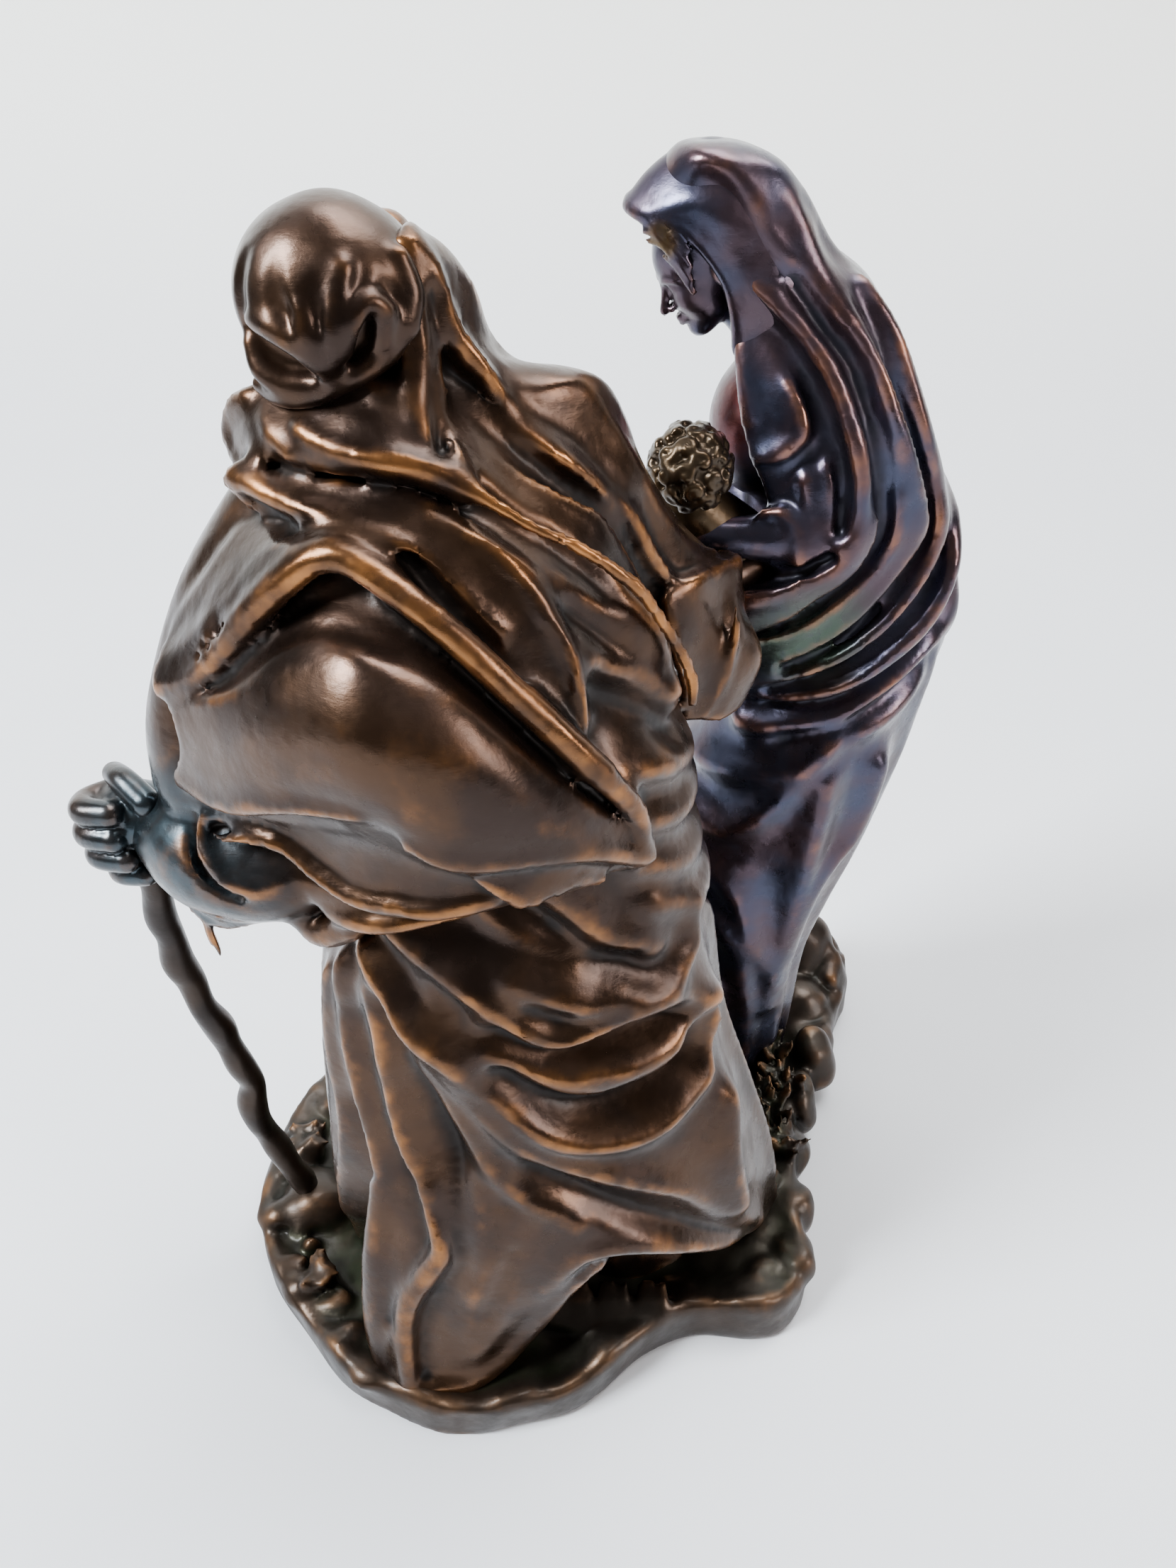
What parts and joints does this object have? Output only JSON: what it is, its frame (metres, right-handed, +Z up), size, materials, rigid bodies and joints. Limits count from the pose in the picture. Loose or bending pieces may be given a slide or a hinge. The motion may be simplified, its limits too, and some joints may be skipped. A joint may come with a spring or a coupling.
{
  "type": "holy family statuette",
  "caption": "Bronzed group of a striding man with a staff and a veiled woman who carries a child, cast in one with an irregular rocky ground.",
  "frame": {"origin": "middle of the ground's box, on the surface it stands on", "axes": "+Z up; the man walks towards +Y and holds the staff on the -X side, and the woman stands at +X and +Y"},
  "size_m": [0.162, 0.1444, 0.2266],
  "materials": {
    "bronzed_casting": "brown bronze patina with rubbed copper edges, slate blue on the woman's clothes, satin",
    "staff": "dark brown patina, satin"
  },
  "bodies": {
    "root": {"figure_group": "bronzed_casting", "staff": "staff"}
  },
  "joints": []
}
